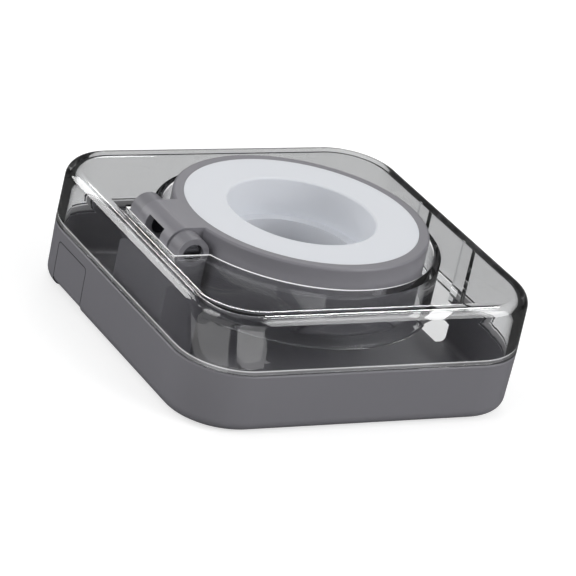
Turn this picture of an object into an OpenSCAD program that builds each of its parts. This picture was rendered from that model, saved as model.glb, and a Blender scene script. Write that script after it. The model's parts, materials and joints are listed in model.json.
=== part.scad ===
// Watch charging dock: a square tray with a clear keyhole lid and a round charger holder that
// swings up on a hinge tower. The hinge side is +Y, +Z is up and the feet stand on z = 0.

/* [Case] */
// Distance from the cover's round opening to the case's side
plate_margin = 10.3; // [9.6:0.1:12]
// Plan radius of the case's corners
case_corner_r = 12.6; // [10:0.2:14]
// Height of the tray from its underside to the parting line
tray_h = 12.1; // [11:0.1:16]
// Height of the clear cover above the parting line
cover_h = 12.3; // [11.5:0.1:16]
// Thickness of the tray's side walls
tray_wall = 2; // [1.8:0.1:2.4]
// Thickness of the tray's floor
tray_floor = 1.6; // [1.4:0.1:2]
// Radius of the tray's lower edge
tray_edge_r = 2.3; // [2:0.1:2.6]
// Draft of the tray's sides, in degrees
tray_draft = 1.2; // [0:0.1:1.5]

/* [Cover] */
// Thickness of the cover's side walls
cover_wall = 2; // [1.6:0.1:2.4]
// Thickness of the cover's top plate
cover_plate = 1.5; // [1.2:0.1:2]
// Radius of the cover's upper edge
cover_edge_r = 2.85; // [2.4:0.05:3.2]
// Draft of the cover's sides, in degrees
cover_draft = 0.8; // [0:0.1:1]
// Thickness of the round skirt below the opening
skirt_t = 1.5; // [1:0.1:1.8]
// Width of the parting face outside the locating lip
rim_land = 1; // [0.8:0.05:1.2]
// Depth of the locating lip inside the tray's rim
lip_h = 1.6; // [1:0.1:2]
// Thickness of the locating lip
lip_t = 0.9; // [0.7:0.05:1]
// Width of each guide rib on the rear wall
guide_w = 4; // [3:0.1:5]
// Distance of each guide rib's middle from the centre line
guide_x = 8.8; // [8:0.1:10]
// Thickness of each guide rib
guide_t = 1; // [0.8:0.1:1.2]
// Reach of each guide rib below the parting line
guide_drop = 2.6; // [2:0.1:4]

/* [Holder] */
// Thickness of the holder's ring around the soft insert
ring_wall = 2.15; // [1.8:0.05:2.6]
// Height of the holder from its foot to its top face
holder_h = 14.2; // [13:0.1:15]
// Rise of the holder's top face above the cover
holder_rise = 3.3; // [2.8:0.1:3.8]
// Thickness of the holder's floor
holder_floor = 2; // [1.5:0.1:2.5]
// Radius of the holder's upper edge
holder_top_r = 0.5; // [0.3:0.1:0.8]
// Radius of the holder's lower edge
holder_foot_r = 1; // [0.5:0.1:1.5]
// Shift of the holder away from the hinge
seat_shift = 0.2; // [0:0.1:0.4]
// Width of the neck between the ring and the hinge
neck_w = 12.4; // [11.6:0.1:13]

/* [Puck insert] */
// Radius of the charger's seat
puck_r = 14.8; // [14:0.1:16]
// Thickness of the soft insert around the seat
insert_wall = 8.6; // [7:0.1:10]
// Depth of the charger's seat
puck_depth = 8; // [7:0.1:9]
// Width of the ledge that the charger rests on
ledge_w = 2.1; // [1.5:0.1:3]
// Radius of the seat's mouth
mouth_r = 0.45; // [0.3:0.05:0.8]

/* [Hinge] */
// Radius of the middle barrel
barrel_r = 3.75; // [3.6:0.05:4]
// Radius of the end knuckles
knuckle_r = 3.4; // [3.2:0.05:3.5]
// Width over the two end knuckles
hinge_w = 20.6; // [20:0.1:22]
// Gap between the barrel and each knuckle
knuckle_gap = 0.15; // [0.1:0.05:0.3]
// Thickness of the barrel around the hinge pins
pin_wall = 1.55; // [1.5:0.05:1.8]
// Length of each hinge pin
pin_len = 5.5; // [5:0.1:6]
// Depth of each pin's end below its knuckle's face
pin_recess = 1.1; // [0.5:0.1:1.4]
// Running clearance around the pins
pin_gap = 0.04; // [0.02:0.01:0.08]
// Width of the cable way through neck and barrel
cable_w = 6.3; // [5:0.1:6.6]
// Height of the cable way's mouth above the axis, in degrees around the barrel
cable_mouth = 35; // [25:1:40]
// Thickness of each friction disc
disc_t = 0.6; // [0.4:0.05:0.7]
// Thickness of each wave washer
washer_t = 0.35; // [0.2:0.05:0.4]

/* [Tower] */
// Thickness of the tower's rear wall
tower_wall = 1.85; // [1.5:0.05:2.2]
// Thickness of the tower's base plate
tower_base = 2.2; // [1.8:0.1:3]
// Depth of the two stop pads under the neck
stop_h = 2.5; // [2:0.1:4]
// Radius of the tower screws' shanks
screw_r = 1; // [0.8:0.05:1.2]
// Length of the tower screws
screw_len = 9; // [7:0.5:12]

/* [Cable door] */
// Width of the cable door
door_w = 12.4; // [11:0.1:12.6]
// Distance of the cable door from the round corner beside it
door_side = 0; // [0:0.1:0.3]
// Strip of tray wall between the cable door and the cover's lip
door_strip = 0.65; // [0.4:0.05:1.5]
// Thickness of the cable door
door_t = 1.8; // [1.6:0.1:2]
// Radius of the cable door's upper corners
door_corner_r = 0.8; // [0.4:0.1:1.5]
// Seam around the cable door
door_seam = 0.1; // [0.08:0.01:0.15]
// Radius of the cable door's pin
door_pin_r = 0.72; // [0.5:0.02:0.8]

/* [Rear notch] */
// Width of the cable notch in the rear wall
notch_w = 15; // [12:0.5:18]
// Depth of the cable notch from the rear side
notch_depth = 4.4; // [3:0.1:5]

/* [Feet] */
// Radius of each foot
foot_r = 4; // [3:0.1:5]
// Rise of the tray above the surface that it stands on
foot_proud = 0.3; // [0.2:0.05:0.6]
// Depth of each foot's pocket
foot_pocket = 0.6; // [0.4:0.05:0.8]
// Distance of each foot's middle from the case's sides
foot_inset = 11.5; // [9:0.5:14]

/* [Fits] */
// Gap between the knuckles' front and the cup
knuckle_cup_gap = 0.35; // [0.3:0.05:0.6]
// Gap between the holder and the cover's round opening
opening_gap = 1.6; // [1.4:0.05:2]
// Gap between the end knuckles and the slot's sides
slot_gap = 0.35; // [0.3:0.05:0.5]
// Gap between the barrel and the slot's end
slot_end_gap = 0.4; // [0.35:0.05:0.6]
// Gap around the soft insert and the feet
soft_gap = 0.05; // [0.03:0.01:0.1]
// Gap between the lip and the tray's rebate
lip_gap = 0.1; // [0.05:0.01:0.2]
// Gap between the stop pads and the neck
stop_gap = 0.1; // [0.05:0.05:0.2]

/* [Hidden] */
$fn = 96;
cut = 1;

grey = [0.42, 0.42, 0.45];
white = [0.9, 0.91, 0.92];
clear = [0.75, 0.76, 0.77, 0.35];
steel = [0.62, 0.63, 0.65];
dark = [0.16, 0.16, 0.17];

// Heights
base_z = foot_proud;
floor_z = base_z + tray_floor;
rim_z = base_z + tray_h;
top_z = rim_z + cover_h;
plate_z = top_z - cover_plate;
ring_z = top_z + holder_rise;
holder_z = ring_z - holder_h;
hinge_z = ring_z - barrel_r;
insert_z = holder_z + holder_floor;
insert_h = ring_z - insert_z;
cable_roof_z = hinge_z + barrel_r * sin(cable_mouth);

// Plan sizes, from the charger's seat outwards
seat_y = -seat_shift;
ledge_r = puck_r - ledge_w;
insert_r = puck_r + insert_wall;
pocket_r = insert_r + soft_gap;
holder_r = pocket_r + ring_wall;
opening_r = holder_r + opening_gap;
half_side = opening_r + plate_margin;
case_side = 2 * half_side;
corner_c = half_side - case_corner_r;
rebate_r = case_corner_r - rim_land;
lip_r = rebate_r - lip_gap;
barrel_half = neck_w / 2;
cheek_in = barrel_half + knuckle_gap;
cup_front_y = seat_y + sqrt(holder_r * holder_r - cheek_in * cheek_in);
hinge_y = cup_front_y + knuckle_cup_gap + knuckle_r;
slot_half = hinge_w / 2 + slot_gap;
slot_end_y = hinge_y + barrel_r + slot_end_gap;
foot_xy = half_side - foot_inset;
opening_chamfer = 0.3;
rim_chamfer = 0.2;
inner_edge_r = 1.2;
rib_root = 0.25;
rib_gap = 0.2;
neck_root = 1;

// Hinge details
pin_r = barrel_r - pin_wall;
cheek_out = hinge_w / 2;
pin_out = cheek_out - pin_recess;
pin_chamfer = 0.2;
disc_gap = 0.05;
disc_bore_gap = 0.1;
barrel_lip = 0.65;
recess_depth = disc_t + washer_t + 3 * disc_gap;
recess_r = barrel_r - barrel_lip;
disc_r = recess_r - disc_gap;
disc_bore_r = pin_r + disc_bore_gap;
washer_r = disc_r - disc_bore_gap;
tower_front_y = hinge_y - knuckle_r;
tower_rear_y = hinge_y + knuckle_r;
tower_wall_top = hinge_z - barrel_r - slot_end_gap;
stop_z = hinge_z - barrel_r - stop_gap;
stop_side_gap = 0.45;
stop_cup_gap = 0.6;
stop_setback = 0.4;
stop_in = cable_w / 2 + stop_side_gap;
stop_front_y = seat_y + holder_r + stop_cup_gap;
stop_rear_y = hinge_y - stop_setback;

// Screw details
screw_x = (cheek_in + cheek_out) / 2;
screw_head_r = 1.9 * screw_r;
screw_head_h = 1.1 * screw_r;
screw_tip_h = screw_r / 2;
screw_fit = 0.05;
cross_w = screw_r / 3;
cross_depth = screw_r / 2;

// Cable door details
door_x = corner_c - door_side - door_w / 2;
door_relief = 0.3;
door_pin_inset = 0.2;
door_pin_rise = 2.1;
door_foot_r = 1.4;
door_turn_gap = 0.15;
door_boss_r = 1.35;
door_boss_len = 1.4;
door_pin_fit = 0.02;
door_pin_run = 0.06;
door_h = tray_h - lip_h - lip_gap - door_strip;
door_pin_y = half_side - tray_wall + door_pin_inset;
door_pin_z = base_z + door_pin_rise;
door_span = door_w + 2 * (door_seam + door_boss_len);
door_in_y = half_side - door_t;
doorway_y = half_side - tray_wall - door_relief;

// Half section of a moulded side: widest at the rim, drafted, with a round edge
module side_section(r, h, edge_r, draft, rim = 0) {
    edge_z = h - edge_r + edge_r * sin(draft);
    edge_x = r - edge_z * tan(draft);
    round_x = edge_x - edge_r * cos(draft);
    rim_x = r - rim * tan(draft);
    polygon([[0, 0], [r - rim, 0], [rim_x, rim], [edge_x, edge_z], [round_x, h], [0, h]]);
    translate([round_x, h - edge_r])
        circle(edge_r);
}

// Solid square block with the section given as a child carried around its rounded plan
module carried_round(c, h) {
    for (x = [-c, c])
        for (y = [-c, c])
            translate([x, y, 0])
                rotate_extrude()
                    children();
    for (turn = [0 : 90 : 270])
        rotate([0, 0, turn])
            translate([-c, c, 0])
                rotate([90, 0, 90])
                    linear_extrude(2 * c)
                        children();
    translate([-c, -c, 0])
        cube([2 * c, 2 * c, h]);
}

// Block that stands on the rim and narrows upwards
module cover_block(r, h, edge_r, rim = 0) {
    translate([0, 0, rim_z])
        carried_round(corner_c, h)
            side_section(r, h, edge_r, cover_draft, rim);
}

// Block that hangs from the rim and narrows downwards
module tray_block(r, h, edge_r, rim = 0) {
    translate([0, 0, rim_z])
        mirror([0, 0, 1])
            carried_round(corner_c, h)
                side_section(r, h, edge_r, tray_draft, rim);
}

// Straight rounded square, for bands that follow the rim
module rim_block(r, z, h) {
    translate([0, 0, z])
        carried_round(corner_c, h)
            square([r, h]);
}

// Bar along X with its end at x
module bar_x(x, y, z, r, len) {
    translate([x, y, z])
        rotate([0, 90, 0])
            cylinder(h = len, r = r);
}

// Outline of the cover's opening, as a cutter that may widen towards its top
module keyhole_cutter(z, h, widen) {
    translate([0, seat_y, z])
        cylinder(h = h, r1 = opening_r, r2 = opening_r + widen);
    translate([0, 0, z])
        rotate([90, 0, 0])
            translate([0, 0, -slot_end_y])
                linear_extrude(slot_end_y)
                    polygon([
                        [-slot_half, 0], [slot_half, 0],
                        [slot_half + widen, h], [-slot_half - widen, h]
                    ]);
    translate([-slot_half, slot_end_y, z])
        rotate([90, 0, 90])
            linear_extrude(2 * slot_half)
                polygon([[-1, 0], [0, 0], [widen, h], [-1, h]]);
}

// Round upright outline of the cable door, grown by a seam
module door_outline(seam) {
    r = door_corner_r;
    w = door_w / 2 + seam;
    h = base_z + door_h + seam;
    for (x = [-w + r, w - r])
        translate([x, h - r])
            circle(r);
    translate([-w + r, 0])
        square([2 * (w - r), h]);
    translate([-w, -cut])
        square([2 * w, h - r + cut]);
}

// Space or skin of the cable door, from an inner face outwards
module door_slab(seam, y) {
    translate([door_x, half_side + cut, 0])
        rotate([90, 0, 0])
            linear_extrude(half_side + cut - y)
                door_outline(seam);
}

module tray_skin() {
    tray_block(case_corner_r, tray_h, tray_edge_r, rim_chamfer);
}

// Bosses in the tray that carry the ends of the door's pin
module door_bosses() {
    for (x = [-door_w / 2 - door_seam - door_boss_len, door_w / 2 + door_seam])
        bar_x(door_x + x, door_pin_y, door_pin_z, door_boss_r, door_boss_len);
}

module base_tray() color(grey)
    difference() {
        union() {
            difference() {
                tray_skin();
                tray_block(case_corner_r - tray_wall, tray_h - tray_floor, inner_edge_r);
                rim_block(rebate_r, rim_z - lip_h - lip_gap, 2 * lip_h);
                door_slab(door_seam, doorway_y);
                bar_x(door_x - door_w / 2 - door_seam, door_pin_y, door_pin_z,
                    door_foot_r + door_turn_gap, door_w + 2 * door_seam);
            }
            door_bosses();
        }
        translate([-notch_w / 2, -half_side - cut, -cut])
            cube([notch_w, notch_depth + cut, rim_z + 2 * cut]);
        for (x = [-foot_xy, foot_xy])
            for (y = [-foot_xy, foot_xy])
                translate([x, y, base_z - cut])
                    cylinder(h = foot_pocket + cut, r = foot_r + soft_gap);
        for (x = [-screw_x, screw_x])
            translate([x, hinge_y, base_z])
                screw_space();
        bar_x(door_x - door_span / 2, door_pin_y, door_pin_z, door_pin_r + door_pin_fit, door_span);
    }

// Hole for a countersunk screw driven up from the tray's underside
module screw_space() {
    translate([0, 0, -cut])
        cylinder(h = tray_floor + 2 * cut, r = screw_r + 2 * screw_fit);
    cylinder(h = screw_head_h, r1 = screw_head_r + screw_fit, r2 = screw_r + screw_fit);
    translate([0, 0, -cut])
        cylinder(h = cut, r = screw_head_r + screw_fit);
}

module tower_screw(side) color(steel)
    translate([side * screw_x, hinge_y, base_z])
        difference() {
            union() {
                cylinder(h = screw_head_h, r1 = screw_head_r, r2 = screw_r);
                cylinder(h = screw_len - screw_tip_h, r = screw_r);
                translate([0, 0, screw_len - screw_tip_h])
                    cylinder(h = screw_tip_h, r1 = screw_r, r2 = screw_r / 2);
            }
            for (turn = [0, 90])
                rotate([0, 0, turn])
                    translate([-screw_r, -cross_w / 2, -cut])
                        cube([2 * screw_r, cross_w, cut + cross_depth]);
        }

// One cheek of the tower with its end knuckle
module tower_cheek() {
    translate([cheek_in, tower_front_y, floor_z])
        cube([cheek_out - cheek_in, 2 * knuckle_r, hinge_z - floor_z]);
    bar_x(cheek_in, hinge_y, hinge_z, knuckle_r, cheek_out - cheek_in);
    translate([stop_in, stop_front_y, stop_z - stop_h])
        cube([cheek_in - stop_in, stop_rear_y - stop_front_y, stop_h]);
}

module hinge_tower() color(grey)
    difference() {
        union() {
            tower_cheek();
            mirror([1, 0, 0])
                tower_cheek();
            translate([-cheek_out, tower_rear_y - tower_wall, floor_z])
                cube([2 * cheek_out, tower_wall, tower_wall_top - floor_z]);
            translate([-cheek_out, tower_front_y, floor_z])
                cube([2 * cheek_out, 2 * knuckle_r, tower_base]);
        }
        bar_x(-cheek_out - cut, hinge_y, hinge_z, pin_r + pin_gap, 2 * cheek_out + 2 * cut);
        for (x = [-screw_x, screw_x])
            translate([x, hinge_y, base_z])
                cylinder(h = screw_len + screw_r, r = screw_r + screw_fit);
    }

module hinge_pin(side) color(steel)
    mirror([side < 0 ? 1 : 0, 0, 0])
        translate([pin_out - pin_len, hinge_y, hinge_z])
            rotate([0, 90, 0]) {
                cylinder(h = pin_chamfer, r1 = pin_r - pin_chamfer, r2 = pin_r);
                translate([0, 0, pin_chamfer])
                    cylinder(h = pin_len - 2 * pin_chamfer, r = pin_r);
                translate([0, 0, pin_len - pin_chamfer])
                    cylinder(h = pin_chamfer, r1 = pin_r, r2 = pin_r - pin_chamfer);
            }

// Flat ring in the recess at one end of the barrel
module barrel_ring(side, x, t, r)
    mirror([side < 0 ? 1 : 0, 0, 0])
        difference() {
            bar_x(x, hinge_y, hinge_z, r, t);
            bar_x(x - cut, hinge_y, hinge_z, disc_bore_r, t + 2 * cut);
        }

module friction_disc(side) color(dark)
    barrel_ring(side, barrel_half - recess_depth + disc_gap, disc_t, disc_r);

module wave_washer(side) color(steel)
    barrel_ring(side, barrel_half - washer_t - disc_gap, washer_t, washer_r);

// Half section of the holder's cup, from its axis outwards
module cup_section() {
    r = holder_r;
    polygon([
        [0, 0], [r - holder_foot_r, 0], [r, holder_foot_r], [r, holder_h - holder_top_r],
        [r - holder_top_r, holder_h], [pocket_r, holder_h], [pocket_r, holder_floor],
        [0, holder_floor]
    ]);
    translate([r - holder_foot_r, holder_foot_r])
        circle(holder_foot_r);
    translate([r - holder_top_r, holder_h - holder_top_r])
        circle(holder_top_r);
}

// Slot for the charger's cable, open downwards, from the seat out to the barrel's rear
module cable_way(y) {
    translate([-cable_w / 2, y, holder_z - cut])
        cube([cable_w, slot_end_y - y, cable_roof_z - holder_z + cut]);
}

module holder_cup() color(grey)
    difference() {
        union() {
            translate([0, seat_y, holder_z])
                rotate_extrude()
                    cup_section();
            difference() {
                translate([-barrel_half, 0, hinge_z - barrel_r])
                    cube([neck_w, hinge_y, 2 * barrel_r]);
                translate([0, seat_y, hinge_z - 2 * barrel_r])
                    cylinder(h = 4 * barrel_r, r = holder_r - neck_root);
            }
            bar_x(-barrel_half, hinge_y, hinge_z, barrel_r, neck_w);
        }
        cable_way(seat_y);
        bar_x(-barrel_half - cut, hinge_y, hinge_z, pin_r + pin_gap, neck_w + 2 * cut);
        for (side = [-1, 1])
            mirror([side < 0 ? 1 : 0, 0, 0])
                bar_x(barrel_half - recess_depth, hinge_y, hinge_z, recess_r, recess_depth + cut);
    }

// Half section of the soft insert, from its bore outwards
module insert_section() {
    seat_z = insert_h - puck_depth;
    polygon([
        [ledge_r, 0], [insert_r, 0], [insert_r, insert_h], [puck_r + mouth_r, insert_h],
        [puck_r, insert_h - mouth_r], [puck_r, seat_z], [ledge_r, seat_z]
    ]);
    translate([puck_r + mouth_r, insert_h - mouth_r])
        circle(mouth_r);
}

module puck_insert() color(white)
    difference() {
        translate([0, seat_y, insert_z])
            rotate_extrude()
                insert_section();
        cable_way(seat_y);
    }

// Round skirt with a soft lower edge, left open at the slot
module cover_skirt() {
    difference() {
        translate([0, seat_y, rim_z])
            rotate_extrude() {
                translate([opening_r, skirt_t / 2])
                    square([skirt_t, cover_h - cover_plate]);
                translate([opening_r + skirt_t / 2, skirt_t / 2])
                    circle(skirt_t / 2);
            }
        translate([-slot_half, 0, rim_z - cut])
            cube([2 * slot_half, half_side, cover_h + 2 * cut]);
        translate([-half_side, -half_side, plate_z + cover_plate / 2])
            cube([case_side, case_side, cover_h]);
    }
}

// Guide ribs on the rear wall, from the plate down past the lip into the tray
module guide_ribs() {
    face_y = -half_side + cover_wall + guide_t;
    root_y = -half_side + cover_wall - rib_root;
    tail_y = -half_side + tray_wall + rib_gap;
    for (x = [-guide_x, guide_x]) {
        translate([x - guide_w / 2, root_y, rim_z - lip_h])
            cube([guide_w, face_y - root_y, lip_h + cover_h - cover_plate / 2]);
        translate([x - guide_w / 2, tail_y, rim_z - guide_drop])
            cube([guide_w, face_y - tail_y, guide_drop]);
    }
}

module clear_cover() color(clear)
    difference() {
        union() {
            difference() {
                cover_block(case_corner_r, cover_h, cover_edge_r, rim_chamfer);
                cover_block(case_corner_r - cover_wall, cover_h - cover_plate, inner_edge_r);
            }
            difference() {
                rim_block(lip_r, rim_z - lip_h, lip_h + rim_chamfer);
                rim_block(lip_r - lip_t, rim_z - lip_h - cut, lip_h + 3 * cut);
            }
            cover_skirt();
            guide_ribs();
        }
        keyhole_cutter(rim_z - cut, cover_h + 2 * cut, 0);
        keyhole_cutter(top_z - opening_chamfer, opening_chamfer, opening_chamfer);
    }

module cable_door() color(grey)
    difference() {
        union() {
            intersection() {
                tray_skin();
                difference() {
                    door_slab(0, door_in_y);
                    translate([0, 0, door_pin_z - case_side])
                        cube([case_side, case_side, case_side]);
                }
            }
            bar_x(door_x - door_w / 2, door_pin_y, door_pin_z, door_foot_r, door_w);
        }
        bar_x(door_x - door_w, door_pin_y, door_pin_z, door_pin_r + door_pin_run, 2 * door_w);
    }

module door_pin() color(steel)
    bar_x(door_x - door_w / 2 - door_boss_len, door_pin_y, door_pin_z, door_pin_r,
        door_w + 2 * door_boss_len);

module foot(x, y) color(dark)
    translate([x * foot_xy, y * foot_xy, 0])
        cylinder(h = foot_proud + foot_pocket, r = foot_r);

base_tray();
hinge_tower();
tower_screw(-1);  // tower_screw_left
tower_screw(1);  // tower_screw_right
hinge_pin(-1);  // hinge_pin_left
hinge_pin(1);  // hinge_pin_right
friction_disc(-1);  // friction_disc_left
friction_disc(1);  // friction_disc_right
wave_washer(-1);  // wave_washer_left
wave_washer(1);  // wave_washer_right
holder_cup();
puck_insert();
clear_cover();
cable_door();
door_pin();
foot(-1, -1);  // foot_rear_left
foot(1, -1);  // foot_rear_right
foot(-1, 1);  // foot_front_left
foot(1, 1);  // foot_front_right
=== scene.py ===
# %% [markdown]
# A smartwatch charging dock, dressed for a picture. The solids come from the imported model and
# stay exactly where they are. This script gives them their finish and adds a small studio.

import json
import math

import bmesh
import bpy
from mathutils import Matrix, Vector


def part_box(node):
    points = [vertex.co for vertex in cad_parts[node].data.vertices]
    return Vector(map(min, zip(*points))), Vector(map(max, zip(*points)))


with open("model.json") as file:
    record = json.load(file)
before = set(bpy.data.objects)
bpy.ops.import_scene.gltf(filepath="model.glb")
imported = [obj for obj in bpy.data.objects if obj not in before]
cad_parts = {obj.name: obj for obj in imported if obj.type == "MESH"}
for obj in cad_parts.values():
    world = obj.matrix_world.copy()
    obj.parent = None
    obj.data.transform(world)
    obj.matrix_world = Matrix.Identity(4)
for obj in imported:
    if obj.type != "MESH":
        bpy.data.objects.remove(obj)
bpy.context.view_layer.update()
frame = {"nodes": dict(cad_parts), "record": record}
nodes = frame["nodes"]

# %% [markdown]
# Lengths are written in millimetres, as on a maker's drawing, and turned into metres by one
# factor. The few places that the finish needs are read from the solids themselves.

# %% Units and places
MM = 0.001

tray_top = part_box("base_tray")[1].z
lid_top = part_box("clear_cover")[1].z
door_low, door_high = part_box("cable_door")
print("tray top:", round(tray_top / MM, 2), "lid top:", round(lid_top / MM, 2))

# %% [markdown]
# The camera is far off with a long lens, which is why the square case keeps its straight sides.
# It is turned about its own axis as well, so that the dock seems to lean in the picture. Angles
# are in degrees, and the sensor and the lens are in millimetres, as Blender takes them.

# %% Camera
AZIMUTH = 236.674
ELEVATION = 24.036
ROLL = 12.914
DISTANCE = 748.71 * MM
AIM = Vector((-5.614, 2.612, 14.0)) * MM
SENSOR = 36.0
LENS = 240.21
NEAREST = 0.05
FARTHEST = 50.0


def looking_at(aim, azimuth, elevation, roll, distance):
    """Placement of a camera that looks at aim, as a matrix."""
    turn, rise, lean = (math.radians(angle) for angle in (azimuth, elevation, roll))
    back = Vector((
        math.sin(turn) * math.cos(rise),
        -math.cos(turn) * math.cos(rise),
        math.sin(rise),
    ))
    level = Vector((math.cos(turn), math.sin(turn), 0.0))
    upright = back.cross(level)
    right = math.cos(lean) * level + math.sin(lean) * upright
    up = back.cross(right)
    axes = Matrix((right, up, back)).transposed().to_4x4()
    return Matrix.Translation(aim + distance * back) @ axes


lens = bpy.data.cameras.new("camera")
lens.sensor_width = SENSOR
lens.lens = LENS
lens.clip_start = NEAREST
lens.clip_end = FARTHEST
camera = bpy.data.objects.new("camera", lens)
camera.matrix_world = looking_at(AIM, AZIMUTH, ELEVATION, ROLL, DISTANCE)
bpy.context.scene.collection.objects.link(camera)
bpy.context.scene.camera = camera
print("camera at", [round(v / MM) for v in camera.location])

# %% [markdown]
# Every finish is a Principled shader with a little structure of its own. A helper makes the
# material and sets plain sockets directly, because only those survive the export. Patterns read
# Object coordinates, so they sit still on a piece that swings or is lifted.

# %% Material helpers
WHITE = (1.0, 1.0, 1.0, 1.0)
BLACK = (0.0, 0.0, 0.0, 1.0)
USUAL_NOISE = (0.3, 0.7)


def new_finish(name, colour, roughness, **sockets):
    """A material with one Principled shader; more sockets are given by name."""
    finish = bpy.data.materials.new(name)
    finish.use_nodes = True
    shader = finish.node_tree.nodes["Principled BSDF"]
    shader.inputs["Base Color"].default_value = (*colour, 1.0)
    shader.inputs["Roughness"].default_value = roughness
    for socket, value in sockets.items():
        shader.inputs[socket.replace("_", " ")].default_value = value
    return finish, finish.node_tree, shader


def add_noise(tree, scale, detail):
    """A noise pattern that sits still on the piece."""
    place = tree.nodes.new("ShaderNodeTexCoord")
    noise = tree.nodes.new("ShaderNodeTexNoise")
    noise.inputs["Scale"].default_value = scale
    noise.inputs["Detail"].default_value = detail
    tree.links.new(place.outputs["Object"], noise.inputs["Vector"])
    return noise.outputs["Fac"]


def spread(tree, pattern, limits, low, high, curve="LINEAR"):
    """The pattern, taken from between its limits to between low and high."""
    ramp = tree.nodes.new("ShaderNodeMapRange")
    ramp.interpolation_type = curve
    ramp.inputs["From Min"].default_value = limits[0]
    ramp.inputs["From Max"].default_value = limits[1]
    ramp.inputs["To Min"].default_value = low
    ramp.inputs["To Max"].default_value = high
    tree.links.new(pattern, ramp.inputs["Value"])
    return ramp.outputs["Result"]


def add_bump(tree, shader, pattern, strength, depth):
    """Turns a pattern into relief of the given depth in metres."""
    bump = tree.nodes.new("ShaderNodeBump")
    bump.inputs["Strength"].default_value = strength
    bump.inputs["Distance"].default_value = depth
    tree.links.new(pattern, bump.inputs["Height"])
    tree.links.new(bump.outputs["Normal"], shader.inputs["Normal"])


print("most of a noise lies between", *USUAL_NOISE)

# %% [markdown]
# Some finishes follow the shape of a piece, such as the shade along a seam. Nodes work that out,
# one sum at a time, and a helper writes each sum as one line. A Mix node keeps its numbers and its
# colours in different sockets under the same names, so they are found by their places.

# %% Sums with nodes
HALF = 0.5
MIX_SHARE = 0
MIX_NUMBERS = (2, 3)
MIX_COLOURS = (6, 7)
MIX_COLOUR_RESULT = 2


def feed(tree, socket, value):
    """Gives a socket a number, or a link where the value is another node's output."""
    if isinstance(value, (int, float)):
        socket.default_value = value
    else:
        tree.links.new(value, socket)


def calculate(tree, operation, first, second=0.0):
    """A math node on one or two numbers or outputs."""
    node = tree.nodes.new("ShaderNodeMath")
    node.operation = operation
    feed(tree, node.inputs[0], first)
    feed(tree, node.inputs[1], second)
    return node.outputs[0]


def coordinates(tree, kind):
    """The three coordinates of a place, by their letters."""
    place = tree.nodes.new("ShaderNodeTexCoord")
    split = tree.nodes.new("ShaderNodeSeparateXYZ")
    tree.links.new(place.outputs[kind], split.inputs["Vector"])
    return split.outputs


def darken(tree, shader, colour, pattern, share):
    """Gives the shader its colour, and only a share of it where the pattern is one."""
    mix = tree.nodes.new("ShaderNodeMix")
    mix.data_type = "RGBA"
    light, dark = (mix.inputs[place] for place in MIX_COLOURS)
    tree.links.new(pattern, mix.inputs[MIX_SHARE])
    light.default_value = (*colour, 1.0)
    dark.default_value = (*(share * part for part in colour), 1.0)
    tree.links.new(mix.outputs[MIX_COLOUR_RESULT], shader.inputs["Base Color"])


print("a mix's numbers:", MIX_NUMBERS, "its colours:", MIX_COLOURS)

# %% [markdown]
# The cable door sits in the wall with a seam of a tenth of a millimetre. Shade in a real seam
# makes it look wider than it is, so painted shade darkens the grey along the door's outline, which
# is worked out as a distance: a groove cut into the solids would change the part for a look alone.

# %% Seam of the cable door
DOOR_CORNER = 0.8 * MM
DOOR_SEAM = 0.1 * MM
DOOR_SKIN = 1.9 * MM
SEAM_SHADE = 0.3
SEAM_FADE = (0.05 * MM, 0.17 * MM)


def distance_to_door(tree, spot):
    """Distance from the door's outline, which has two round corners at its top."""
    middle = (door_low.x + door_high.x) / 2
    half = (door_high.x - door_low.x) / 2 - DOOR_CORNER
    aside = calculate(tree, "ABSOLUTE", calculate(tree, "SUBTRACT", spot["X"], middle))
    aside = calculate(tree, "SUBTRACT", aside, half)
    above = calculate(tree, "SUBTRACT", spot["Z"], door_high.z - DOOR_CORNER)
    outside = [calculate(tree, "MAXIMUM", side, 0.0) for side in (aside, above)]
    squares = [calculate(tree, "MULTIPLY", side, side) for side in outside]
    slanted = calculate(tree, "SQRT", calculate(tree, "ADD", *squares))
    inside = calculate(tree, "MINIMUM", calculate(tree, "MAXIMUM", aside, above), 0.0)
    return calculate(tree, "SUBTRACT", calculate(tree, "ADD", slanted, inside), DOOR_CORNER)


def shade_seam(tree, shader, colour):
    """Paints shade a hair's width along the seam between the cable door and its wall."""
    spot = coordinates(tree, "Object")
    away = calculate(tree, "SUBTRACT", distance_to_door(tree, spot), DOOR_SEAM / 2)
    fade = spread(tree, calculate(tree, "ABSOLUTE", away), SEAM_FADE, 1.0, 0.0)
    skin = calculate(tree, "GREATER_THAN", spot["Y"], door_high.y - DOOR_SKIN)
    darken(tree, shader, colour, calculate(tree, "MULTIPLY", fade, skin), SEAM_SHADE)


print("door outline:", round((door_high.x - door_low.x) / MM, 2), "mm wide")

# %% [markdown]
# The case and the holder are moulded plastic with a very fine spark-eroded texture. Two noises
# make it: a fine one for the relief, and a slow one that lets the sheen vary a little.
# Grain this fine would be far too many faces as geometry, so it is relief in the shader.

# %% Moulded plastic
GRAIN = 9000.0
GRAIN_DETAIL = 2.0
CLOUD = 90.0
CLOUD_DETAIL = 3.0
MOULD_DEPTH = 0.02 * MM
MOULD_STRENGTH = 0.25
MOULD_SPECULAR = 0.45
SHEEN_CHANGE = 0.04


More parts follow.
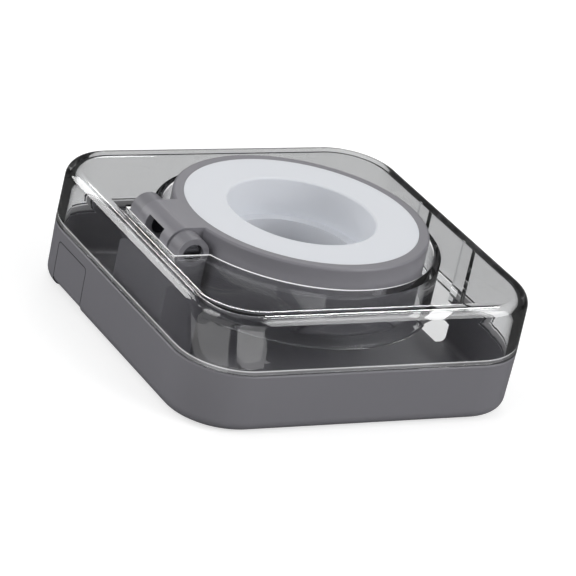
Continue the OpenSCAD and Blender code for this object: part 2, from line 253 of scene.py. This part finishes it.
def moulded_plastic(name, colour, roughness):
    """Satin plastic with fine grain, from a textured mould."""
    finish, tree, shader = new_finish(
        name, colour, roughness, Specular_IOR_Level=MOULD_SPECULAR,
    )
    grain = add_noise(tree, GRAIN, GRAIN_DETAIL)
    add_bump(tree, shader, grain, MOULD_STRENGTH, MOULD_DEPTH)
    cloud = add_noise(tree, CLOUD, CLOUD_DETAIL)
    dullest, shiniest = roughness + SHEEN_CHANGE, roughness - SHEEN_CHANGE
    sheen = spread(tree, cloud, USUAL_NOISE, shiniest, dullest)
    tree.links.new(sheen, shader.inputs["Roughness"])
    return finish, tree, shader


CASE_COLOUR = (0.196, 0.193, 0.212)
CASE_ROUGHNESS = 0.45
HOLDER_COLOUR = (0.222, 0.218, 0.240)
HOLDER_ROUGHNESS = 0.42

case_grey, case_tree, case_shader = moulded_plastic("case_grey", CASE_COLOUR, CASE_ROUGHNESS)
# Painted shade along the seam of the cable door.
shade_seam(case_tree, case_shader, CASE_COLOUR)
holder_grey = moulded_plastic("holder_grey", HOLDER_COLOUR, HOLDER_ROUGHNESS)[0]
print("moulded plastic:", case_grey.name, holder_grey.name)

# %% [markdown]
# The white insert is soft silicone. A little subsurface light takes the hardness out of its
# shadows, and its skin is matt with a faint cloud. The light goes nearly as deep in all three
# colours, because the usual skin-like depths would give the bore a warm tint.

# %% White silicone
SILICONE_SPECULAR = 0.3
SILICONE_DEPTH = 1.5 * MM
SILICONE_DEPTHS = (1.0, 0.95, 0.9)
SILICONE_LIGHT = 0.12
SILICONE_CLOUD_DETAIL = 2.0
SILICONE_ROUGHNESS = 0.5
SILICONE_SHEEN = (0.46, 0.56)
SILICONE_STRENGTH = 0.12
SILICONE_RELIEF = 0.015 * MM


def silicone(name, colour):
    """Soft matt silicone."""
    finish, tree, shader = new_finish(
        name, colour, SILICONE_ROUGHNESS, Specular_IOR_Level=SILICONE_SPECULAR,
        Subsurface_Weight=SILICONE_LIGHT, Subsurface_Scale=SILICONE_DEPTH,
        Subsurface_Radius=SILICONE_DEPTHS,
    )
    grain = add_noise(tree, GRAIN, GRAIN_DETAIL)
    add_bump(tree, shader, grain, SILICONE_STRENGTH, SILICONE_RELIEF)
    cloud = add_noise(tree, CLOUD, SILICONE_CLOUD_DETAIL)
    skin = spread(tree, cloud, USUAL_NOISE, *SILICONE_SHEEN)
    tree.links.new(skin, shader.inputs["Roughness"])
    return finish


SILICONE_COLOUR = (0.765, 0.785, 0.825)

soft_white = silicone("soft_white", SILICONE_COLOUR)
print("insert:", soft_white.name)

# %% [markdown]
# Screws, washers and pins are steel. Rings from the lathe would be finer than a point of the
# picture on pieces this small, so an even, fine noise breaks up their highlight instead. The two
# hinge pins are given a near-black steel, so that the bores of the hinge look dark. The discs and
# the feet are dull and nearly black.

# %% Steel, discs and feet
MARKS = 4000.0
MARKS_DETAIL = 4.0
STEEL_ROUGHNESS = 0.3
STEEL_SHEEN = (0.24, 0.38)
MARKS_STRENGTH = 0.2
MARKS_DEPTH = 0.01 * MM
RUBBER_GRAIN = 3000.0
RUBBER_DETAIL = 3.0
RUBBER_SPECULAR = 0.35
RUBBER_STRENGTH = 0.3
RUBBER_DEPTH = 0.03 * MM


def machined_steel(name, colour):
    """Steel with fine marks from its making."""
    finish, tree, shader = new_finish(name, colour, STEEL_ROUGHNESS, Metallic=1.0)
    marks = add_noise(tree, MARKS, MARKS_DETAIL)
    sheen = spread(tree, marks, USUAL_NOISE, *STEEL_SHEEN)
    tree.links.new(sheen, shader.inputs["Roughness"])
    add_bump(tree, shader, marks, MARKS_STRENGTH, MARKS_DEPTH)
    return finish


def dark_rubber(name, colour, roughness):
    """Matt rubber or friction plastic."""
    finish, tree, shader = new_finish(
        name, colour, roughness, Specular_IOR_Level=RUBBER_SPECULAR,
    )
    grain = add_noise(tree, RUBBER_GRAIN, RUBBER_DETAIL)
    add_bump(tree, shader, grain, RUBBER_STRENGTH, RUBBER_DEPTH)
    return finish


STEEL_COLOUR = (0.55, 0.56, 0.58)
NEAR_BLACK_PIN_COLOUR = (0.09, 0.09, 0.10)
DISC_COLOUR = (0.05, 0.05, 0.055)
DISC_ROUGHNESS = 0.5
FOOT_COLOUR = (0.06, 0.06, 0.065)
FOOT_ROUGHNESS = 0.8

steel = machined_steel("steel", STEEL_COLOUR)
# Near-black steel for the hinge pins, so that the hinge bores look dark.
near_black_pin_steel = machined_steel("near_black_pin_steel", NEAR_BLACK_PIN_COLOUR)
friction_plastic = dark_rubber("friction_plastic", DISC_COLOUR, DISC_ROUGHNESS)
foot_rubber = dark_rubber("foot_rubber", FOOT_COLOUR, FOOT_ROUGHNESS)
print("small pieces:", steel.name, near_black_pin_steel.name, friction_plastic.name, foot_rubber.name)

# %% [markdown]
# Clear plastic leads light along its walls and lets it out at the edges. Tracing that light takes
# far too many samples, so painted light stands in for it: a faint glow that no lamp gives. It lies
# on upright faces only: in a line just below the edge of the opening, and, on the inner side of
# the walls, in a line at their foot and in a weak band on the lip below it, where the lid sits in
# the tray.

# %% Painted light in the lid's edges
# Places and strengths of the painted glow, which is emission on the lid.
TOP_LINE = (-0.75 * MM, -0.3 * MM)
TOP_PAINTED_GLOW = 1.0
FOOT_LINE = (0.16 * MM, 0.44 * MM)
FOOT_PAINTED_GLOW = 0.6
LIP_BAND = (-1.0 * MM, 0.16 * MM)
LIP_PAINTED_GLOW = 0.13
STEEPEST_SLOPE = 0.1


def within(tree, value, base, limits):
    """One where the value lies between two limits above the base."""
    low = calculate(tree, "GREATER_THAN", value, base + limits[0])
    high = calculate(tree, "LESS_THAN", value, base + limits[1])
    return calculate(tree, "MULTIPLY", low, high)


def on_inner_side(tree, spot, surface, facing):
    """One on walls that face the middle, whichever side of the wall the ray comes from."""
    along_x = calculate(tree, "MULTIPLY", spot["X"], facing["X"])
    along_y = calculate(tree, "MULTIPLY", spot["Y"], facing["Y"])
    outward = calculate(tree, "ADD", along_x, along_y)
    unflip = calculate(tree, "SUBTRACT", HALF, surface.outputs["Backfacing"])
    return calculate(tree, "LESS_THAN", calculate(tree, "MULTIPLY", outward, unflip), 0.0)


def painted_edge_glow(tree, shader):
    """Painted light on the edge of the opening, and on the foot and the lip of the walls."""
    spot = coordinates(tree, "Object")
    surface = tree.nodes.new("ShaderNodeNewGeometry")
    split = tree.nodes.new("ShaderNodeSeparateXYZ")
    tree.links.new(surface.outputs["True Normal"], split.inputs["Vector"])
    facing = split.outputs
    upright = calculate(
        tree, "LESS_THAN", calculate(tree, "ABSOLUTE", facing["Z"]), STEEPEST_SLOPE,
    )
    bands = (
        (lid_top, TOP_LINE, TOP_PAINTED_GLOW),
        (tray_top, FOOT_LINE, FOOT_PAINTED_GLOW),
        (tray_top, LIP_BAND, LIP_PAINTED_GLOW),
    )
    top, foot, lip = (
        calculate(tree, "MULTIPLY", within(tree, spot["Z"], base, limits), glow)
        for base, limits, glow in bands
    )
    inner = on_inner_side(tree, spot, surface, facing)
    low = calculate(tree, "MULTIPLY", calculate(tree, "ADD", foot, lip), inner)
    glow = calculate(tree, "MULTIPLY", calculate(tree, "ADD", top, low), upright)
    shader.inputs["Emission Color"].default_value = WHITE
    tree.links.new(glow, shader.inputs["Emission Strength"])


print("foot line:", [round(v / MM, 2) for v in FOOT_LINE], "mm above the tray")

# %% [markdown]
# The lid is clear polycarbonate with a light smoke tint, a body with a real thickness. Its shader
# bends light less than that plastic does, so that the pieces under the lid keep their place in the
# picture, and a clear coat with about the plastic's own index gives the full reflections. An
# absorbing volume makes long ways through the walls darker. Lamps can't find their way through
# bent light, so shadow rays meet a plain transparent shader instead, and the inside of the dock
# is lit softly.

# %% Clear polycarbonate
LID_COLOUR = (0.95, 0.955, 0.96)
LID_IOR = 1.2
COAT_IOR = 1.5
LID_SMOKE = 46.0
LAMP_SHARE = 0.82


def clear_plastic(name):
    """Lightly smoked clear plastic, as a body with thickness."""
    finish, tree, shader = new_finish(
        name, LID_COLOUR, 0.0, Transmission_Weight=1.0, IOR=LID_IOR,
        Coat_Weight=1.0, Coat_Roughness=0.0, Coat_IOR=COAT_IOR,
    )
    # Painted glow along the edge of the opening, the foot of the walls and the lip.
    painted_edge_glow(tree, shader)
    path = tree.nodes.new("ShaderNodeLightPath")
    pass_on = tree.nodes.new("ShaderNodeBsdfTransparent")
    pass_on.inputs["Color"].default_value = (LAMP_SHARE, LAMP_SHARE, LAMP_SHARE, 1.0)
    choice = tree.nodes.new("ShaderNodeMixShader")
    share, usual, for_shadows = choice.inputs
    output = tree.nodes["Material Output"]
    tree.links.new(path.outputs["Is Shadow Ray"], share)
    tree.links.new(shader.outputs["BSDF"], usual)
    tree.links.new(pass_on.outputs["BSDF"], for_shadows)
    tree.links.new(choice.outputs["Shader"], output.inputs["Surface"])
    smoke = tree.nodes.new("ShaderNodeVolumeAbsorption")
    smoke.inputs["Color"].default_value = BLACK
    smoke.inputs["Density"].default_value = LID_SMOKE
    tree.links.new(smoke.outputs["Volume"], output.inputs["Volume"])
    return finish


clear_lid = clear_plastic("clear_lid")
print("lid:", clear_lid.name, "index:", LID_IOR, "coat:", COAT_IOR)

# %% [markdown]
# The record says which slot each solid belongs to, so the finishes are handed out by slot. Only
# the hinge pins differ: they stay in the slot for steel and wear a near-black version of it.

# %% Give the solids their finish
FINISHES = {
    "case_grey": case_grey,
    "holder_grey": holder_grey,
    "clear_lid": clear_lid,
    "soft_white": soft_white,
    "steel": steel,
    "friction_plastic": friction_plastic,
    "foot_rubber": foot_rubber,
}

slots = {part["node"]: part["material_slot"] for part in frame["record"]["subparts"]}
for name, solid in nodes.items():
    finish = near_black_pin_steel if name.startswith("hinge_pin") else FINISHES[slots[name]]
    for place in solid.material_slots:
        place.material = finish
print("finished solids:", len(slots))

# %% [markdown]
# The studio is a plain pale floor under large soft lamps. What the camera sees of the floor is
# white, also straight through the clear lid. After a bounce off a matt surface that white no
# longer counts, so it puts no extra light on the dock. Polished faces mirror a dim room instead,
# which is why the lid's rims come out dark, with bright lines where they mirror a lamp or a card.
# So each ray has to be told apart by what it has met on its way.

# %% Kinds of ray
UNDER_LID = 0.4


def kinds_of_ray(tree):
    """Ones and noughts: seen straight, mirrored, bounced under the lid, seen by the camera."""
    path = tree.nodes.new("ShaderNodeLightPath").outputs
    clean = calculate(tree, "LESS_THAN", path["Diffuse Depth"], HALF)
    unmirrored = calculate(tree, "LESS_THAN", path["Glossy Depth"], HALF)
    inside = calculate(tree, "GREATER_THAN", path["Transmission Depth"], HALF)
    matt = calculate(tree, "SUBTRACT", 1.0, clean)
    straight = calculate(tree, "MULTIPLY", clean, unmirrored)
    mirrored = calculate(tree, "SUBTRACT", clean, straight)
    return straight, mirrored, calculate(tree, "MULTIPLY", matt, inside), path["Is Camera Ray"]


def blend(tree, share, first, second):
    """First where the share is nought, second where it is one."""
    node = tree.nodes.new("ShaderNodeMix")
    node.data_type = "FLOAT"
    feed(tree, node.inputs[MIX_SHARE], share)
    for place, value in zip(MIX_NUMBERS, (first, second)):
        feed(tree, node.inputs[place], value)
    return node.outputs[0]


print("share of the light under the lid:", UNDER_LID)

# %% [markdown]
# The room is the world's background, and the camera sees it white all over. A ray that has passed
# through the lid sees it white near the horizon, where it meets the floor, and dim higher up. A
# mirrored ray sees a dim room, and matt surfaces get an even light from all sides.

# %% Room
ROOM_LIGHT = 0.36
ROOM_MIRRORED = 0.05
HORIZON = (0.05, 0.30)

room = bpy.data.worlds.new("studio")
room.use_nodes = True
bpy.context.scene.world = room
tree = room.node_tree
straight, mirrored, under_lid, seen = kinds_of_ray(tree)
upwards = coordinates(tree, "Generated")["Z"]
fading = spread(tree, upwards, HORIZON, 1.0, ROOM_MIRRORED, "SMOOTHSTEP")
white = calculate(tree, "MAXIMUM", seen, fading)
strength = blend(tree, straight, ROOM_LIGHT, white)
strength = blend(tree, mirrored, strength, ROOM_MIRRORED)
strength = calculate(tree, "MULTIPLY", strength, blend(tree, under_lid, 1.0, UNDER_LID))
backdrop = tree.nodes["Background"]
backdrop.inputs["Color"].default_value = WHITE
tree.links.new(strength, backdrop.inputs["Strength"])
print("room:", room.name, "horizon:", HORIZON)

# %% [markdown]
# The floor is one large square. It is a plain matt surface that keeps the dock's shadow, with a
# glow on top that only straight rays see and that lifts it to white.

# %% Floor
FLOOR_HALF_WIDTH = 3.0
FLOOR_COLOUR = 0.55
FLOOR_WHITE = 0.62
FLOOR_MIRRORED = 0.06
FLOOR_ROUGHNESS = 0.9
FLOOR_SPECULAR = 0.1

floor_mesh = bpy.data.meshes.new("floor")
shape = bmesh.new()
bmesh.ops.create_grid(shape, x_segments=1, y_segments=1, size=FLOOR_HALF_WIDTH)
shape.to_mesh(floor_mesh)
shape.free()
floor = bpy.data.objects.new("floor", floor_mesh)
bpy.context.scene.collection.objects.link(floor)
paint, tree, shader = new_finish(
    "floor_white", (FLOOR_COLOUR,) * 3, FLOOR_ROUGHNESS, Specular_IOR_Level=FLOOR_SPECULAR,
)
straight, mirrored, under_lid = kinds_of_ray(tree)[:3]
grey = blend(tree, mirrored, FLOOR_COLOUR, FLOOR_MIRRORED)
grey = calculate(tree, "MULTIPLY", grey, blend(tree, under_lid, 1.0, UNDER_LID))
mixed = tree.nodes.new("ShaderNodeCombineColor")
for channel in mixed.inputs[:3]:
    tree.links.new(grey, channel)
tree.links.new(mixed.outputs[0], shader.inputs["Base Color"])
shader.inputs["Emission Color"].default_value = WHITE
lift = calculate(tree, "MULTIPLY", straight, FLOOR_WHITE)
tree.links.new(lift, shader.inputs["Emission Strength"])
floor_mesh.materials.append(paint)
print("floor:", 2 * FLOOR_HALF_WIDTH, "m wide")

# %% [markdown]
# The lamps are given by the side and the height that they shine from, in degrees around the dock.
# Two large ones light the two near walls, the low one and the narrow one behind draw bright lines
# along the lid's edges, and a weak one overhead fills the top. A lamp's power follows from its
# size, so each is set by how bright its face is.

# %% Lamps
REACH = 0.9
LIT_POINT = Vector((0.0, 0.0, 15.0)) * MM
LAMPS = {
    "overhead": (0.0, 90.0, (0.9, 0.9), 0.24),
    "front_right": (-140.0, 27.0, (0.56, 0.50), 4.9),
    "back_right": (-32.0, 38.0, (0.30, 0.10), 9.0),
    "back_left": (36.0, 19.0, (0.34, 0.30), 5.5),
    "front_left": (100.0, 30.0, (0.40, 0.40), 4.5),
}


def direction(side, height):
    """The way from the dock to a side and a height, in degrees."""
    turn, rise = math.radians(side), math.radians(height)
    flat = math.cos(rise)
    return Vector((math.cos(turn) * flat, math.sin(turn) * flat, math.sin(rise)))


def softbox(name, side, height, size, radiance):
    """A rectangular lamp that faces the dock, with its angles in degrees."""
    away = direction(side, height)
    lamp = bpy.data.lights.new(name, "AREA")
    lamp.shape = "RECTANGLE"
    lamp.size, lamp.size_y = size
    lamp.energy = radiance * math.pi * size[0] * size[1]
    box = bpy.data.objects.new(name, lamp)
    box.location = LIT_POINT + REACH * away
    box.rotation_euler = away.to_track_quat("Z", "Y").to_euler()
    bpy.context.scene.collection.objects.link(box)
    print(name, "watts:", round(lamp.energy, 2))


for name, (side, height, size, radiance) in LAMPS.items():
    softbox(name, side, height, size, radiance)

# %% [markdown]
# White cards stand around the dock, as photographers use them. Only mirrored and bent rays see
# them, because a card that lights matt plastic as well is a lamp. Two lie on the floor and show as
# the upright patches on the near corner, and the others hang in the air and draw the bright lines
# and bands along the lid's rounded edges.

# %% Cards
CARD_RISE = 0.2 * MM
HALF_METRE = 0.5
FLOOR_CARDS = {
    "card_corner": (1.25, [(-3, 80), (-19, 73), (-42, 62), (-60, 43), (-74, 67), (-47, 84)]),
    "card_front": (1.9, [(-66, 5), (-90, 9), (-84, 60), (-70, 41)]),
}
HUNG_CARDS = {
    "card_front_line": (-88.0, 59.0, (0.13, 0.22), 18.0),
    "card_front_fill": (-112.0, 54.0, (0.20, 0.20), 2.0),
    "card_front_band": (-136.0, 47.0, (0.26, 0.11), 3.4),
    "card_left_line": (-27.0, 30.3, (0.10, 0.05), 8.0),
    "card_left_second": (1.5, 39.5, (0.09, 0.09), 6.5),
    "card_left_band": (28.0, 31.5, (0.24, 0.08), 4.2),
}


def only_mirrored(name, mesh, glow):
    """Makes a mesh a glowing card that only mirrored and bent rays see."""
    sheet = bpy.data.objects.new(name, mesh)
    bpy.context.scene.collection.objects.link(sheet)
    paint, _, shader = new_finish(name, (0.0, 0.0, 0.0), 1.0, Emission_Strength=glow)
    shader.inputs["Emission Color"].default_value = WHITE
    mesh.materials.append(paint)
    sheet.visible_camera = False
    sheet.visible_diffuse = False
    sheet.visible_shadow = False


def floor_card(name, glow, outline):
    """A card that lies on the floor, with its corners in millimetres."""
    shape = bmesh.new()
    shape.faces.new([shape.verts.new((x * MM, y * MM, CARD_RISE)) for x, y in outline])
    mesh = bpy.data.meshes.new(name)
    shape.to_mesh(mesh)
    shape.free()
    only_mirrored(name, mesh, glow)


def hung_card(name, side, height, size, glow):
    """A card that faces the dock from a side and a height, in degrees."""
    shape = bmesh.new()
    bmesh.ops.create_grid(shape, x_segments=1, y_segments=1, size=HALF_METRE)
    bmesh.ops.scale(shape, vec=(size[0], size[1], 1.0), verts=shape.verts)
    away = direction(side, height)
    turn = away.to_track_quat("Z", "Y").to_matrix()
    bmesh.ops.rotate(shape, matrix=turn, verts=shape.verts)
    bmesh.ops.translate(shape, vec=LIT_POINT + REACH * away, verts=shape.verts)
    mesh = bpy.data.meshes.new(name)
    shape.to_mesh(mesh)
    shape.free()
    only_mirrored(name, mesh, glow)


for name, (glow, outline) in FLOOR_CARDS.items():
    floor_card(name, glow, outline)
for name, (side, height, size, glow) in HUNG_CARDS.items():
    hung_card(name, side, height, size, glow)
print("cards:", len(FLOOR_CARDS) + len(HUNG_CARDS))

# %% [markdown]
# The Standard view shows each colour about as it is written.

# %% Finish
bpy.context.scene.view_settings.view_transform = "Standard"
